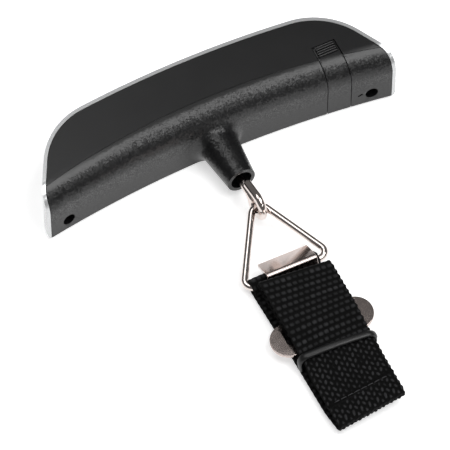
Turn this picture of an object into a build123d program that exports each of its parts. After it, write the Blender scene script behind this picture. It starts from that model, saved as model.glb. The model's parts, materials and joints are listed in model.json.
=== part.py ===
from build123d import *
from math import acos, asin, cos, degrees, radians, sin, sqrt, tan
import os

os.makedirs("parts", exist_ok=True)

# Digital luggage scale, in millimetres, lying on its display face with the back up.
# X runs along the handle, Y from the strap towards the handle's far side, Z up.
# The origin is the middle of the flat display face.

# ---------------------------------------------------------------- handle, seen from above
near_y = -7.9  # the neck-side wall at the middle of the handle
handle_depth = 24.7  # from that wall to the far edge
far_half_run = 39.5  # half of the gently arched far edge
far_radius = 400.0
near_radius = 393.0
corner_radius = 26.0
corner_turn = 55.0
lip_radius = 12.0
side_land = 0.8  # short straight end beside the neck-side wall

# ---------------------------------------------------------------- handle, seen from the end
back_height = 25.0  # at the far edge
back_slope = 7.6  # degrees, the back falls towards the neck side
shoulder_radius = 9.0
front_round = 2.4
crease_radius = 270.0
crease_from_near = 8.1  # from the neck-side wall to the edge of the smooth panel
crease_step = 0.25

# ---------------------------------------------------------------- shells
rim_wall = 1.2
plate_wall = 2.0
casing_wall = 2.0
shell_gap = 0.15
near_wall_lift = 0.5  # the casing's wall ends this far above the display face

# ---------------------------------------------------------------- neck and swivel
neck_z = 8.0
neck_mouth_radius = 5.1
neck_root_radius = 7.3
neck_length = 18.3
neck_blend = 4.0
neck_bore = 7.6
wire_diameter = 3.0
running_gap = 0.05
bush_length = 14.0
bush_flange = 1.3
bush_flange_radius = 5.2

# ---------------------------------------------------------------- eye
eye_tip_reach = 17.0  # from the neck's mouth to the outside of the eye
eye_radius = 4.2  # centreline
eye_neck_radius = 3.0
eye_tail = 6.4
eye_tail_angle = 9.0

# ---------------------------------------------------------------- triangle ring
ring_wire = 2.5
ring_height = 29.1  # over the wire
ring_apex_radius = 3.2
ring_corner_radius = 2.6
ring_pivot_y = -37.95
ring_pivot_z = 7.2
ring_half_apex = 28.3
ring_skew = 2.3  # the apex stands this far to one side of the bar's middle

# ---------------------------------------------------------------- strap
strap_turn = -1.5  # how far ring and strap lie turned from the neck's axis
strap_roll = 4.0  # ring and strap lie on their left edge, the right one lifted
webbing_width = 25.0
webbing = 1.2
bar_gap = 0.5
ply_gap = 0.1
strap_length = 62.0  # from the ring's bar to the outside of the lower fold
sewn_end = 14.0
lower_fold_radius = 1.6
upper_fold_radius = 1.6
upper_fold_at = 7.0
anchor_end = 45.0
band_room = 1.6  # the lower run stays this high for the keeper band

# ---------------------------------------------------------------- hook plate
plate_thick = 1.2
hook_width = 18.0
hook_gap = 0.45
tongue_slope = 34.0
tongue_half_length = 5.0
riser_lean = 1.7
plate_turn = -2.3  # the plate sits a little askew on the bar
plate_body_width = 21.0
ear_width = 36.5
ear_height = 13.0
ear_middle = 25.6
slot_length = 25.8
slot_start = 21.4
slot_end = 27.6

# ---------------------------------------------------------------- keeper band
band_width = 2.4
band_thick = 1.4
band_at = 36.3
band_gap = 0.15

# ---------------------------------------------------------------- display and buttons
window_length = 34.0
window_width = 13.0
window_gap = 0.1
window_flange = 1.5
flange_thick = 0.6
display_y = 4.0
glass_length = 34.0
glass_width = 13.0
glass_thick = 1.4
frame_border = 1.6
frame_gap = 0.15
board_under = 4.8
board_thick = 1.0
board_length = 76.0
board_near_y = -5.6
board_far_y = 11.4
button_x = 24.8
button_y = 4.0
button_diameter = 9.0
button_gap = 0.15
button_recess = 0.2
button_flange = 0.9
button_travel = 0.25
dome_height = 0.5
dome_diameter = 5.0
chip_places = (-24.0, -21.0, 20.0, 23.0)
chip_inset = 3.0
board_screw_head_thick = 1.2
board_screw_length = 3.4
beam_screw_reach = 4.5  # past the beam

# ---------------------------------------------------------------- load beam
beam_half_length = 38.0
beam_depth = 8.0
beam_near_y = -4.2
beam_thick = 3.2
beam_hub = 9.0
beam_hub_thick = 6.0
beam_post_x = 33.5
beam_post_diameter = 6.4
flexure_x = 16.5
flexure_hole = 5.2
flexure_spacing = 7.0
gauge_thick = 0.15

# ---------------------------------------------------------------- screws
screw_thread = 2.2
screw_head = 3.9
screw_head_thick = 1.5
beam_screw_thread = 2.6
beam_screw_head = 5.0
beam_screw_head_thick = 2.0
thread_gap = 0.02
case_screw_x = 57.5
case_screw_z = 5.0
case_screw_well = 4.5
case_screw_depth = 2.5
case_screw_length = 5.0
boss_wall = 1.5

# ---------------------------------------------------------------- battery drawer
drawer_x = 45.8
drawer_width = 8.3
drawer_gap = 0.25
drawer_wall = 1.4
drawer_top_y = 2.1
cell_diameter = 20.0
cell_thick = 3.2
cell_x = 44.3
cell_y = 1.2
cell_headroom = 0.056  # between the cell and the cover strip over it
cell_gap = 0.15
cradle_web = 1.1
bay_floor = 1.0
contact_thick = 0.25
grip_height = 0.5
grip_depth = 1.1
grip_root = 0.3
grip_inset = 0.3
slit_x = 53.4
slit_z = 5.4
slit_length = 1.8
slit_width = 0.7
slit_depth = 1.6
slit_tilt = 28.0

# ================================================================= derived sizes
far_y = near_y + handle_depth
far_turn = degrees(asin(far_half_run / far_radius))
lip_turn = 90.0 - far_turn - corner_turn
top_z = back_height
slope = radians(back_slope)
inner_inset = rim_wall + shell_gap + casing_wall
mouth_y = near_y - neck_length
bar_to_apex = ring_height - ring_wire
ring_clear = ring_wire / 2 + bar_gap
bar_z = ring_clear + webbing
strap_across = Vector(cos(radians(strap_turn)), sin(radians(strap_turn)), 0)
strap_along = Vector(sin(radians(strap_turn)), -cos(radians(strap_turn)), 0)
# the strap is drawn lying flat, then rolled about the edge of the keeper band
roll = radians(strap_roll)
plate_under = band_room + 2 * webbing + 2 * ply_gap
band_outer = webbing_width + 2 * band_gap + 2 * band_thick
pivot_arm = band_outer / 2 + ring_skew
pivot_rise = (ring_pivot_z - pivot_arm * sin(roll)) / cos(roll)
ring_pitch = asin((pivot_rise - bar_z) / bar_to_apex)
roll_edge = (
    Vector(0, ring_pivot_y, 0)
    - strap_across * (pivot_arm * cos(roll) - pivot_rise * sin(roll))
    + strap_along * (bar_to_apex * cos(ring_pitch))
)
roll_axis = Axis(roll_edge, strap_along)
bar_foot = roll_edge + strap_across * (band_outer / 2)
bar_middle = bar_foot + Vector(0, 0, bar_z)
strap_side = Plane(origin=bar_foot, x_dir=strap_along, z_dir=strap_across * -1)
strap_top = Plane(origin=bar_foot, x_dir=strap_across, z_dir=(0, 0, 1))
beam_far_y = beam_near_y + beam_depth
beam_posts = [(side * beam_post_x, beam_near_y + beam_depth / 2) for side in (-1, 1)]
washer_y = beam_far_y + running_gap
cell_roof = top_z - (far_y - cell_y) * tan(slope) - crease_step - drawer_wall / cos(slope)
cell_z = cell_roof - cell_headroom - cell_diameter / 2
drawer_left = drawer_x - drawer_width / 2
drawer_right = drawer_x + drawer_width / 2


def near_edge(x, offset=0.0):
    """Y of the neck-side wall at x, moved in by offset."""
    radius = near_radius - offset
    return near_y + offset - radius + sqrt(radius**2 - x**2)


def plan_outline(inset, near_offset):
    """Outline from above: the far side and ends moved in by inset, the neck side by near_offset."""
    with BuildSketch() as plan:
        with BuildLine():
            far = JernArc((0, far_y - inset), (1, 0), far_radius - inset, -far_turn)
            corner = JernArc(far @ 1, far % 1, corner_radius - inset, -corner_turn)
            lip_rise = (lip_radius - inset) * sin(radians(lip_turn))
            heading = corner % 1
            lip_end_y = near_edge(66.0) + side_land
            cheek_length = ((corner @ 1).Y - lip_end_y - lip_rise) / -heading.Y
            cheek = Line(corner @ 1, corner @ 1 + heading * cheek_length)
            lip = JernArc(cheek @ 1, heading, lip_radius - inset, -lip_turn)
            end_x = (lip @ 1).X
            foot = (end_x, near_edge(end_x, near_offset))
            Line(lip @ 1, foot)
            mirror(about=Plane.YZ)
            ThreePointArc((-foot[0], foot[1]), (0, near_y + near_offset), foot)
        make_face()
    return plan.sketch


def envelope(inset, near_offset, bottom, lowering, radius):
    """The handle's outer form, or one moved in from it: outline, sloped back and round shoulder."""
    with BuildPart() as form:
        with BuildSketch(Plane.XY.offset(bottom)):
            add(plan_outline(inset, near_offset))
        extrude(amount=top_z + 6 - bottom)
        back = Plane(origin=(0, far_y, top_z - lowering), x_dir=(1, 0, 0), z_dir=(0, -sin(slope), cos(slope)))
        split(bisect_by=back, keep=Keep.BOTTOM)
        shoulder = form.edges().filter_by(
            lambda e: e.length > 50 and e.center().Y < near_y + near_offset + 2 and e.center().Z > 10
        )
        fillet(shoulder, radius)
    return form.part


def finish(piece, name):
    """Labels a finished piece and writes it."""
    piece.part.label = name
    export_step(piece.part, f"parts/{name}.step")


def finish_rolled(piece, name):
    """The same for a piece that hangs from the eye and lies rolled with the strap."""
    rolled = piece.part.rotate(roll_axis, strap_roll)
    rolled.label = name
    export_step(rolled, f"parts/{name}.step")


neck_axis = Axis((0, 0, neck_z), (0, 1, 0))
outer_form = envelope(0, 0, 0, 0, shoulder_radius)
smooth_form = envelope(rim_wall + shell_gap, 0, -12, 0, shoulder_radius)
grained_form = envelope(rim_wall + shell_gap, 0, -12, crease_step, shoulder_radius)
rear_hollow = envelope(inner_inset, casing_wall, -14, casing_wall, shoulder_radius - casing_wall)
near_flat = casing_wall + shell_gap
case_seat_y = near_edge(case_screw_x) + case_screw_depth + screw_head_thick
block_half = screw_thread / 2 + boss_wall
block_near = case_seat_y + boss_wall + shell_gap
block_far = block_near + case_screw_length - boss_wall
positive_y = cell_y + cell_diameter / 2 + cell_gap
relief_y = cell_y + cell_diameter / 2 - 3.5

# ================================================================= handle shells
with BuildPart() as front_shell:
    add(outer_form)
    front_edges = front_shell.edges().filter_by(
        lambda e: abs(e.center().Z) < 0.01 and e.center().Y > near_edge(e.center().X) + 1.5
    )
    fillet(front_edges, front_round)
    # the tray's hollow
    with BuildSketch(Plane.XY.offset(plate_wall)):
        add(plan_outline(rim_wall, 0))
    extrude(amount=top_z, mode=Mode.SUBTRACT)
    # the rear casing's wall stands in front of the plate
    with BuildSketch():
        add(plan_outline(rim_wall, 0))
        add(plan_outline(rim_wall, near_flat), mode=Mode.SUBTRACT)
    extrude(amount=top_z, mode=Mode.SUBTRACT)
    # posts for the load beam
    with BuildSketch(Plane.XY.offset(plate_wall / 2)):
        with Locations(*beam_posts):
            Circle(beam_post_diameter / 2)
    extrude(amount=neck_z - beam_thick / 2 - plate_wall / 2)
    with BuildSketch(Plane.XY.offset(plate_wall / 2)):
        with Locations(*beam_posts):
            Circle(beam_screw_thread / 2 + thread_gap)
    extrude(amount=top_z, mode=Mode.SUBTRACT)
    # posts for the board
    with BuildSketch(Plane.XY.offset(plate_wall / 2)):
        with Locations((-beam_post_x, display_y + 4), (beam_post_x, display_y + 4)):
            Circle(screw_thread / 2 + boss_wall)
    extrude(amount=board_under - plate_wall / 2)
    with BuildSketch(Plane.XY.offset(plate_wall / 2)):
        with Locations((-beam_post_x, display_y + 4), (beam_post_x, display_y + 4)):
            Circle(screw_thread / 2 + thread_gap)
    extrude(amount=top_z, mode=Mode.SUBTRACT)
    # window and button openings
    with BuildSketch():
        with Locations((0, display_y)):
            RectangleRounded(window_length + 2 * window_gap, window_width + 2 * window_gap, 1.5)
        with Locations((-button_x, button_y), (button_x, button_y)):
            Circle(button_diameter / 2 + button_gap)
    extrude(amount=plate_wall, mode=Mode.SUBTRACT)
    # floor of the battery bay
    with BuildSketch(Plane.XY.offset(bay_floor)):
        with Locations((drawer_x, 0)):
            Rectangle(drawer_width, 4 * handle_depth)
        add(plan_outline(rim_wall, near_flat), mode=Mode.INTERSECT)
    extrude(amount=top_z, mode=Mode.SUBTRACT)
    # blocks that take the case screws
    for side in (-1, 1):
        with BuildSketch(Plane(origin=(0, block_near, 0), x_dir=(-1, 0, 0), z_dir=(0, 1, 0))):
            with Locations((-side * case_screw_x, case_screw_z)):
                Circle(block_half)
            with Locations((-side * case_screw_x, (case_screw_z + plate_wall / 2) / 2)):
                Rectangle(2 * block_half, case_screw_z - plate_wall / 2)
        extrude(amount=block_far - block_near)
        with Locations(Plane(origin=(side * case_screw_x, block_near, case_screw_z), z_dir=(0, -1, 0))):
            Hole(screw_thread / 2 + thread_gap, depth=block_far - block_near)
finish(front_shell, "front_shell")

with BuildPart() as rear_casing:
    # the smooth panel stands a step above the grained shoulder
    add(smooth_form)
    with BuildSketch(Plane.XY.offset(top_z / 2)):
        with BuildLine():
            crease_drop = crease_radius - sqrt(crease_radius**2 - far_radius**2 / 25)
            crease_y = near_y + crease_from_near
            crease_x = far_radius / 5
            ThreePointArc(
                (-crease_x, crease_y - crease_drop),
                (0, crease_y),
                (crease_x, crease_y - crease_drop),
            )
            Polyline(
                (crease_x, crease_y - crease_drop),
                (crease_x, -crease_x),
                (-crease_x, -crease_x),
                (-crease_x, crease_y - crease_drop),
            )
        make_face()
    extrude(amount=top_z, mode=Mode.SUBTRACT)
    add(grained_form)
    # neck
    with BuildSketch(Plane.YZ):
        with BuildLine():
            Polyline(
                (mouth_y, neck_z),
                (mouth_y, neck_z + neck_mouth_radius),
                (near_y + casing_wall, neck_z + neck_root_radius),
                (near_y + casing_wall, neck_z),
                close=True,
            )
        make_face()
    revolve(axis=neck_axis)
    neck_root = rear_casing.edges().filter_by(
        lambda e: abs(e.center().X) < neck_root_radius + 2
        and near_y - 2 < e.center().Y < near_y + 6
        and abs(e.center().Z - neck_z) < neck_root_radius + 3
        and e.length < 60
        and e.length > 5
    )
    fillet(neck_root, neck_blend)
    # nothing below the wall's foot
    with BuildSketch(Plane.XY.offset(near_wall_lift)):
        Rectangle(300, 300)
    extrude(amount=-60, mode=Mode.SUBTRACT)
    # hollow
    add(rear_hollow, mode=Mode.SUBTRACT)
    # collars for the case screws
    for side in (-1, 1):
        wall_middle = near_edge(case_screw_x) + casing_wall / 2
        collar_start = Plane(
            origin=(side * case_screw_x, wall_middle, case_screw_z), x_dir=(-1, 0, 0), z_dir=(0, 1, 0)
        )
        with BuildSketch(collar_start):
            Circle(case_screw_well / 2 + boss_wall)
        extrude(amount=case_seat_y + boss_wall - wall_middle)
        # the skirt gives way to the tray's block
        with Locations((side * case_screw_x, (block_near + block_far) / 2, (case_screw_z + block_half) / 2)):
            Box(
                2 * block_half + 2 * shell_gap,
                block_far - block_near + 2 * shell_gap,
                case_screw_z + block_half + 2 * shell_gap,
                mode=Mode.SUBTRACT,
            )
    # only the neck-side wall reaches below the tray's plate
    with BuildSketch():
        add(plan_outline(0, casing_wall))
    extrude(amount=plate_wall + shell_gap, mode=Mode.SUBTRACT)
    # bore of the neck
    with Locations(Plane(origin=(0, mouth_y, neck_z), z_dir=(0, -1, 0))):
        Hole(neck_bore / 2, depth=neck_length + casing_wall + 1)
    # their wells and holes
    for side in (-1, 1):
        well_start = Plane(
            origin=(side * case_screw_x, mouth_y, case_screw_z), x_dir=(-1, 0, 0), z_dir=(0, 1, 0)
        )
        with BuildSketch(well_start):
            Circle(case_screw_well / 2)
        extrude(amount=case_seat_y - mouth_y, mode=Mode.SUBTRACT)
        with BuildSketch(well_start):
            Circle(screw_thread / 2 + shell_gap)
        extrude(amount=case_seat_y + 3 * boss_wall - mouth_y, mode=Mode.SUBTRACT)
    # opening for the battery drawer, with a thinner roof over the cell
    with BuildSketch():
        with Locations((drawer_x, drawer_top_y - handle_depth)):
            Rectangle(drawer_width + 2 * drawer_gap, 2 * handle_depth)
    extrude(amount=top_z + 1, mode=Mode.SUBTRACT)
    with BuildSketch(Plane(origin=(drawer_left - drawer_gap, 0, 0), x_dir=(0, 1, 0), z_dir=(1, 0, 0))):
        with Locations((cell_y, cell_z)):
            Circle(cell_diameter / 2 + 2 * cell_gap)
    extrude(amount=drawer_width + 2 * drawer_gap, mode=Mode.SUBTRACT)
    # the skirt gives way to the cell and its contact
    with BuildSketch(Plane.XY.offset(plate_wall)):
        with Locations(((board_length / 2 - 3 + drawer_right + drawer_gap) / 2, (relief_y + far_y) / 2)):
            Rectangle(drawer_right + drawer_gap - board_length / 2 + 3, far_y - relief_y)
    extrude(amount=cell_z + cell_diameter / 2 - plate_wall, mode=Mode.SUBTRACT)
    # slit for a fingernail
    with Locations(Location((slit_x, near_edge(slit_x), slit_z), (0, -slit_tilt, 0))):
        Box(slit_length, slit_depth, slit_width, mode=Mode.SUBTRACT)
finish(rear_casing, "rear_casing")

# ================================================================= display
with BuildPart() as display_window:
    with BuildSketch():
        with Locations((0, display_y)):
            RectangleRounded(window_length, window_width, 1.5 - window_gap)
    extrude(amount=plate_wall)
    with BuildSketch(Plane.XY.offset(plate_wall)):
        with Locations((0, display_y)):
            RectangleRounded(window_length + 2 * window_flange, window_width + 2 * window_flange, 1.5)
    extrude(amount=flange_thick)
finish(display_window, "display_window")

glass_under = plate_wall + flange_thick + ply_gap
with BuildPart() as display_glass:
    with BuildSketch(Plane.XY.offset(glass_under)):
        with Locations((0, display_y)):
            Rectangle(glass_length, glass_width)
    extrude(amount=glass_thick)
finish(display_glass, "display_glass")

with BuildPart() as display_frame:
    with BuildSketch(Plane.XY.offset(glass_under)):
        with Locations((0, display_y)):
            frame_reach = 2 * (frame_gap + frame_border)
            Rectangle(glass_length + frame_reach, glass_width + frame_reach)
            Rectangle(glass_length + 2 * frame_gap, glass_width + 2 * frame_gap, mode=Mode.SUBTRACT)
    extrude(amount=board_under - glass_under)
finish(display_frame, "display_frame")

connector_width = 2.0
with BuildPart() as display_connector:
    with BuildSketch(Plane.XY.offset(glass_under + glass_thick)):
        with Locations((0, display_y + glass_width / 2 - connector_width / 2)):
            Rectangle(glass_length - 2, connector_width)
    extrude(amount=board_under - glass_under - glass_thick)
finish(display_connector, "display_connector")

# ================================================================= board
board_top = board_under + board_thick
nut_flats = 5.5
nut_thick = 2.4
washer_thick = 0.6
washer_diameter = 7.0
nut_far_y = washer_y + washer_thick + running_gap + nut_thick
with BuildPart() as main_board:
    with BuildSketch(Plane.XY.offset(board_under)):
        with Locations((0, (board_near_y + board_far_y) / 2)):
            RectangleRounded(board_length, board_far_y - board_near_y, 2)
        # notch round the hub of the beam and the nut
        with Locations((0, board_near_y)):
            Rectangle(beam_hub + 2, 2 * (nut_far_y + 1 - board_near_y), mode=Mode.SUBTRACT)
        with Locations(*beam_posts):
            Circle(beam_post_diameter / 2 + 2 * shell_gap, mode=Mode.SUBTRACT)
        with Locations((-beam_post_x, display_y + 4), (beam_post_x, display_y + 4)):
            Circle(screw_thread / 2 + shell_gap, mode=Mode.SUBTRACT)
    extrude(amount=board_thick)
finish(main_board, "main_board")

chip_size = 6.0
with BuildPart() as chip_cover:
    with BuildSketch(Plane.XY.offset(board_top)):
        with Locations((-14, board_far_y - chip_size / 2 - 0.6)):
            Circle(chip_size / 2)
    extrude(amount=1.1, taper=30)
finish(chip_cover, "chip_cover")

with BuildPart() as board_chips:
    with BuildSketch(Plane.XY.offset(board_top)):
        with Locations((12, board_far_y - 3.2)):
            Rectangle(5.0, 4.0)
        with Locations(*[(chip_x, board_far_y - chip_inset) for chip_x in chip_places]):
            Rectangle(1.6, 0.8)
    extrude(amount=1.0)
finish(board_chips, "board_chips")

with BuildPart() as key_domes:
    with BuildSketch(Plane.XY.offset(board_under)):
        with Locations((-button_x, button_y), (button_x, button_y)):
            Circle(dome_diameter / 2)
    extrude(amount=-dome_height, taper=35)
finish(key_domes, "key_domes")


def screw(head_middle, direction, head, head_thick, thread, length):
    """A pan-head screw whose head's seat is at head_middle and whose thread runs along direction."""
    seat = Plane(origin=head_middle, z_dir=direction)
    with BuildPart() as fastener:
        with BuildSketch(seat):
            Circle(head / 2)
        extrude(amount=-head_thick)
        with BuildSketch(seat):
            Circle(thread / 2)
        extrude(amount=length)
        # cross recess
        with BuildSketch(seat.offset(-head_thick)):
            Rectangle(head * 0.6, head * 0.16)
            Rectangle(head * 0.16, head * 0.6)
        extrude(amount=head_thick * 0.5, mode=Mode.SUBTRACT)
    return fastener.part


with BuildPart() as board_screws:
    for side in (-1, 1):
        seat = (side * beam_post_x, display_y + 4, board_top)
        add(screw(seat, (0, 0, -1), screw_head, board_screw_head_thick, screw_thread, board_screw_length))
finish(board_screws, "board_screws")

# ================================================================= buttons
for name, x in (("power_button", -button_x), ("unit_button", button_x)):
    with BuildPart() as button:
        with BuildSketch(Plane.XY.offset(button_recess)):
            with Locations((x, button_y)):
                Circle(button_diameter / 2)
        extrude(amount=plate_wall - button_recess)
        fillet(button.edges().group_by(Axis.Z)[0], 0.4)
        with BuildSketch(Plane.XY.offset(plate_wall)):
            with Locations((x, button_y)):
                Circle(button_diameter / 2 + button_flange)
        extrude(amount=flange_thick)
        with BuildSketch(Plane.XY.offset(plate_wall + flange_thick)):
            with Locations((x, button_y)):
                Circle(dome_diameter / 4)
        extrude(amount=board_under - dome_height - button_travel - ply_gap - plate_wall - flange_thick)
    finish(button, name)

# ================================================================= load beam
beam_middle_y = beam_near_y + beam_depth / 2
with BuildPart() as load_beam:
    with BuildSketch(Plane.XY.offset(neck_z - beam_thick / 2)):
        with Locations((0, beam_middle_y)):
            RectangleRounded(2 * beam_half_length, beam_depth, beam_depth / 2 - 0.2)
    extrude(amount=beam_thick)
    with BuildSketch(Plane.XY.offset(neck_z - beam_hub_thick / 2)):
        with Locations((0, beam_middle_y)):
            Rectangle(beam_hub, beam_depth)
    extrude(amount=beam_hub_thick)
    # thin places that bend under load
    with BuildSketch(Plane.XY.offset(neck_z - beam_thick)):
        for side in (-1, 1):
            with Locations((side * flexure_x, beam_middle_y)):
                SlotCenterToCenter(flexure_spacing, flexure_hole)
        with Locations((-beam_post_x, beam_middle_y), (beam_post_x, beam_middle_y)):
            Circle(beam_screw_thread / 2 + shell_gap)
    extrude(amount=2 * beam_thick, mode=Mode.SUBTRACT)
    with Locations(Plane(origin=(0, beam_near_y, neck_z), z_dir=(0, -1, 0))):
        Hole(wire_diameter / 2 + running_gap, depth=beam_depth)
finish(load_beam, "load_beam")

with BuildPart() as strain_gauges:
    for x in (-flexure_x, flexure_x):
        for y, outward in ((beam_near_y, -1), (beam_far_y, 1)):
            with Locations((x, y + outward * gauge_thick / 2, neck_z)):
                Box(6.0, gauge_thick, 2.6)
finish(strain_gauges, "strain_gauges")

with BuildPart() as beam_screws:
    for side in (-1, 1):
        seat = (side * beam_post_x, beam_middle_y, neck_z + beam_thick / 2)
        length = beam_thick + beam_screw_reach
        add(screw(seat, (0, 0, -1), beam_screw_head, beam_screw_head_thick, beam_screw_thread, length))
finish(beam_screws, "beam_screws")

# ================================================================= neck bush
bush_inner_y = near_y + casing_wall + shell_gap
with BuildPart() as neck_bush:
    with BuildSketch(Plane.YZ):
        with BuildLine():
            Polyline(
                (bush_inner_y + bush_flange, neck_z + wire_diameter / 2 + running_gap),
                (bush_inner_y + bush_flange, neck_z + bush_flange_radius),
                (bush_inner_y, neck_z + bush_flange_radius),
                (bush_inner_y, neck_z + neck_bore / 2 - running_gap),
                (bush_inner_y - bush_length, neck_z + neck_bore / 2 - running_gap),
                (bush_inner_y - bush_length, neck_z + wire_diameter / 2 + running_gap),
                close=True,
            )
        make_face()
    revolve(axis=neck_axis)
finish(neck_bush, "neck_bush")

# ================================================================= eye
eye_turn = acos(eye_neck_radius / (eye_neck_radius + eye_radius))
eye_middle_y = mouth_y - eye_tip_reach + wire_diameter / 2 + eye_radius
eye_bend_y = eye_middle_y + (eye_neck_radius + eye_radius) * sin(eye_turn)
shank_end_y = nut_far_y + 0.8
with BuildPart() as hook_eye:
    with BuildLine(Plane.YZ):
        shank = Line((shank_end_y, neck_z), (eye_bend_y, neck_z))
        dip = JernArc(shank @ 1, (-1, 0), eye_neck_radius, degrees(eye_turn))
        loop = JernArc(dip @ 1, dip % 1, eye_radius, -degrees(eye_turn) - 180 - eye_tail_angle)
        Line(loop @ 1, loop @ 1 + (loop % 1) * eye_tail)
    with BuildSketch(Plane(origin=(0, shank_end_y, neck_z), z_dir=(0, -1, 0))):
        Circle(wire_diameter / 2)
    sweep()
finish(hook_eye, "hook_eye")

with BuildPart() as eye_washer:
    with BuildSketch(Plane(origin=(0, washer_y, neck_z), z_dir=(0, 1, 0))):
        Circle(washer_diameter / 2)
        Circle(wire_diameter / 2 + thread_gap, mode=Mode.SUBTRACT)
    extrude(amount=washer_thick)
finish(eye_washer, "eye_washer")

with BuildPart() as eye_nut:
    with BuildSketch(Plane(origin=(0, nut_far_y - nut_thick, neck_z), z_dir=(0, 1, 0))):
        RegularPolygon(nut_flats / 2, 6, major_radius=False)
        Circle(wire_diameter / 2 + thread_gap, mode=Mode.SUBTRACT)
    extrude(amount=nut_thick)
finish(eye_nut, "eye_nut")

# ================================================================= triangle ring
ring_side = sin(radians(ring_half_apex))
ring_sharp_height = bar_to_apex + ring_apex_radius / ring_side - ring_apex_radius
ring_half_base = ring_sharp_height * tan(radians(ring_half_apex))
ring_down = strap_along * cos(ring_pitch) + Vector(0, 0, -1) * sin(ring_pitch)
ring_plane = Plane(origin=bar_middle, x_dir=strap_across, z_dir=strap_across.cross(ring_down * -1))
with BuildPart() as triangle_ring:
    with BuildLine(ring_plane) as ring_path:
        Polyline((0, 0), (ring_half_base, 0), (ring_skew, ring_sharp_height), (-ring_half_base, 0), (0, 0))
        corners = ring_path.vertices().filter_by(lambda v: abs(v.X - bar_foot.X) > webbing_width / 2)
        fillet(corners, ring_corner_radius)
        apex = ring_path.vertices().sort_by(Axis.Y)[-1]
        fillet(apex, ring_apex_radius)
    with BuildSketch(Plane(origin=bar_middle, z_dir=strap_across)):
        Circle(ring_wire / 2)
    sweep()
finish_rolled(triangle_ring, "triangle_ring")

# ================================================================= webbing
wrap_radius = ring_clear + webbing / 2
wrap_start = 35.0
lower_run = band_room + webbing / 2
fold_middle = strap_length - lower_fold_radius - webbing / 2
plate_middle = plate_under + plate_thick / 2
over_plate = plate_under + plate_thick + ply_gap + webbing / 2
upper_run = over_plate + 2 * upper_fold_radius
lower_fold_top = lower_run + 2 * lower_fold_radius
inner_run = lower_run + webbing + 0.15
with BuildPart() as strap_webbing:
    with BuildLine(strap_side) as run:
        wrap = CenterArc((0, bar_z), wrap_radius, wrap_start, 270 - wrap_start)
        leave = wrap @ 0
        FilletPolyline(
            (sewn_end, lower_run + webbing / 2),
            (3.3, 2.2),
            leave,
            radius=1.2,
        )
        FilletPolyline(
            (0, webbing / 2), (3, webbing / 2), (24, lower_run), (fold_middle, lower_run), radius=12.0
        )
        JernArc((fold_middle, lower_run), (1, 0), lower_fold_radius, 180)
        FilletPolyline(
            (fold_middle, lower_fold_top),
            (fold_middle - 4, lower_fold_top),
            (band_at - band_width / 2 - 1, lower_fold_top + 1.3),
            (ear_middle, upper_run),
            (upper_fold_at, upper_run),
            radius=6.0,
        )
        JernArc((upper_fold_at, upper_run), (-1, 0), upper_fold_radius, 180)
        FilletPolyline(
            (upper_fold_at, over_plate),
            (slot_start + 0.9, over_plate),
            (slot_end - 1.0, inner_run),
            (anchor_end, inner_run),
            radius=1.2,
        )
    start = Plane(origin=run.wires()[0] @ 0, z_dir=run.wires()[0] % 0, x_dir=strap_across)
    with BuildSketch(start):
        Rectangle(webbing_width, webbing)
    sweep()
finish_rolled(strap_webbing, "strap_webbing")

# ================================================================= hook plate
tongue_clear = ring_clear + webbing + hook_gap + plate_thick / 2
tongue_run = Vector(cos(radians(tongue_slope)), sin(radians(tongue_slope)))
tongue_middle = Vector(0, bar_z) + Vector(-tongue_run.Y, tongue_run.X) * tongue_clear
tongue_low = tongue_middle - tongue_run * tongue_half_length
tongue_high = tongue_middle + tongue_run * tongue_half_length
plate_from = 7.0
with BuildPart() as hook_plate:
    with BuildLine(strap_side) as hook_line:
        FilletPolyline(
            (tongue_low.X, tongue_low.Y),
            (tongue_high.X, tongue_high.Y),
            (tongue_high.X + riser_lean, plate_middle),
            (plate_from + 1, plate_middle),
            radius=0.62,
        )
    hook_start = hook_line.wires()[0]
    with BuildSketch(Plane(origin=hook_start @ 0, z_dir=hook_start % 0, x_dir=strap_across)):
        Rectangle(hook_width, plate_thick)
    sweep()
    with BuildSketch(strap_top.offset(plate_under)):
        with Locations((0, -(plate_from + ear_middle) / 2)):
            Rectangle(plate_body_width, ear_middle - plate_from)
        with Locations((0, -ear_middle)):
            SlotOverall(ear_width, ear_height)
        with Locations((0, -(slot_start + slot_end) / 2)):
            RectangleRounded(slot_length, slot_end - slot_start, 1.0, mode=Mode.SUBTRACT)
    extrude(amount=plate_thick)
hook_plate.part = hook_plate.part.rotate(Axis(bar_foot + strap_along * ear_middle, (0, 0, 1)), plate_turn)
finish_rolled(hook_plate, "hook_plate")

# ================================================================= keeper band
band_low = lower_run - webbing / 2 - band_gap - band_thick
band_high = lower_fold_top + 1.3 + webbing / 2 + 2 * band_gap + band_thick
with BuildPart() as keeper_band:
    band_plane = Plane(
        origin=bar_foot + strap_along * (band_at - band_width / 2), x_dir=strap_across, z_dir=strap_along
    )
    with BuildSketch(band_plane):
        with Locations((0, (band_low + band_high) / 2)):
            RectangleRounded(band_outer, band_high - band_low, 1.8)
            Rectangle(band_outer - 2 * band_thick, band_high - band_low - 2 * band_thick, mode=Mode.SUBTRACT)
    extrude(amount=band_width)
finish_rolled(keeper_band, "keeper_band")

# ================================================================= case screws
with BuildPart() as case_screws:
    for side in (-1, 1):
        seat = (side * case_screw_x, case_seat_y, case_screw_z)
        add(screw(seat, (0, 1, 0), screw_head, screw_head_thick, screw_thread, case_screw_length))
finish(case_screws, "case_screws")

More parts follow.
